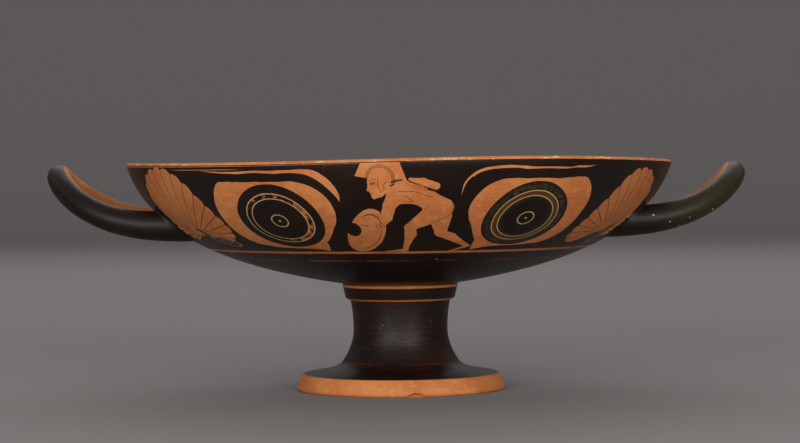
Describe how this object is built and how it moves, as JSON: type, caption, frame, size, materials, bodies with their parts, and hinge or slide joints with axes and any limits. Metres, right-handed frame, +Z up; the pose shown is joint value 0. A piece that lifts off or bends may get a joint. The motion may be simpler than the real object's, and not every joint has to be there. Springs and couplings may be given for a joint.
{
  "type": "kylix cup",
  "caption": "Wide shallow drinking cup of painted clay on a stemmed foot, with a loop handle at each side, eyes and palmettes round the bowl.",
  "frame": {"origin": "centre of the foot's resting ring, on the surface that the cup stands on", "axes": "+Z up; the handles lie along X, +X through the handle on the right as side A is faced; side A faces -Y"},
  "size_m": [0.4114, 0.32, 0.1362],
  "materials": {
    "painted_clay": "black gloss slip over orange clay, with reserved orange decoration; satin, thin and brown in places, worn"
  },
  "bodies": {
    "root": {"kylix": "painted_clay"}
  },
  "joints": []
}
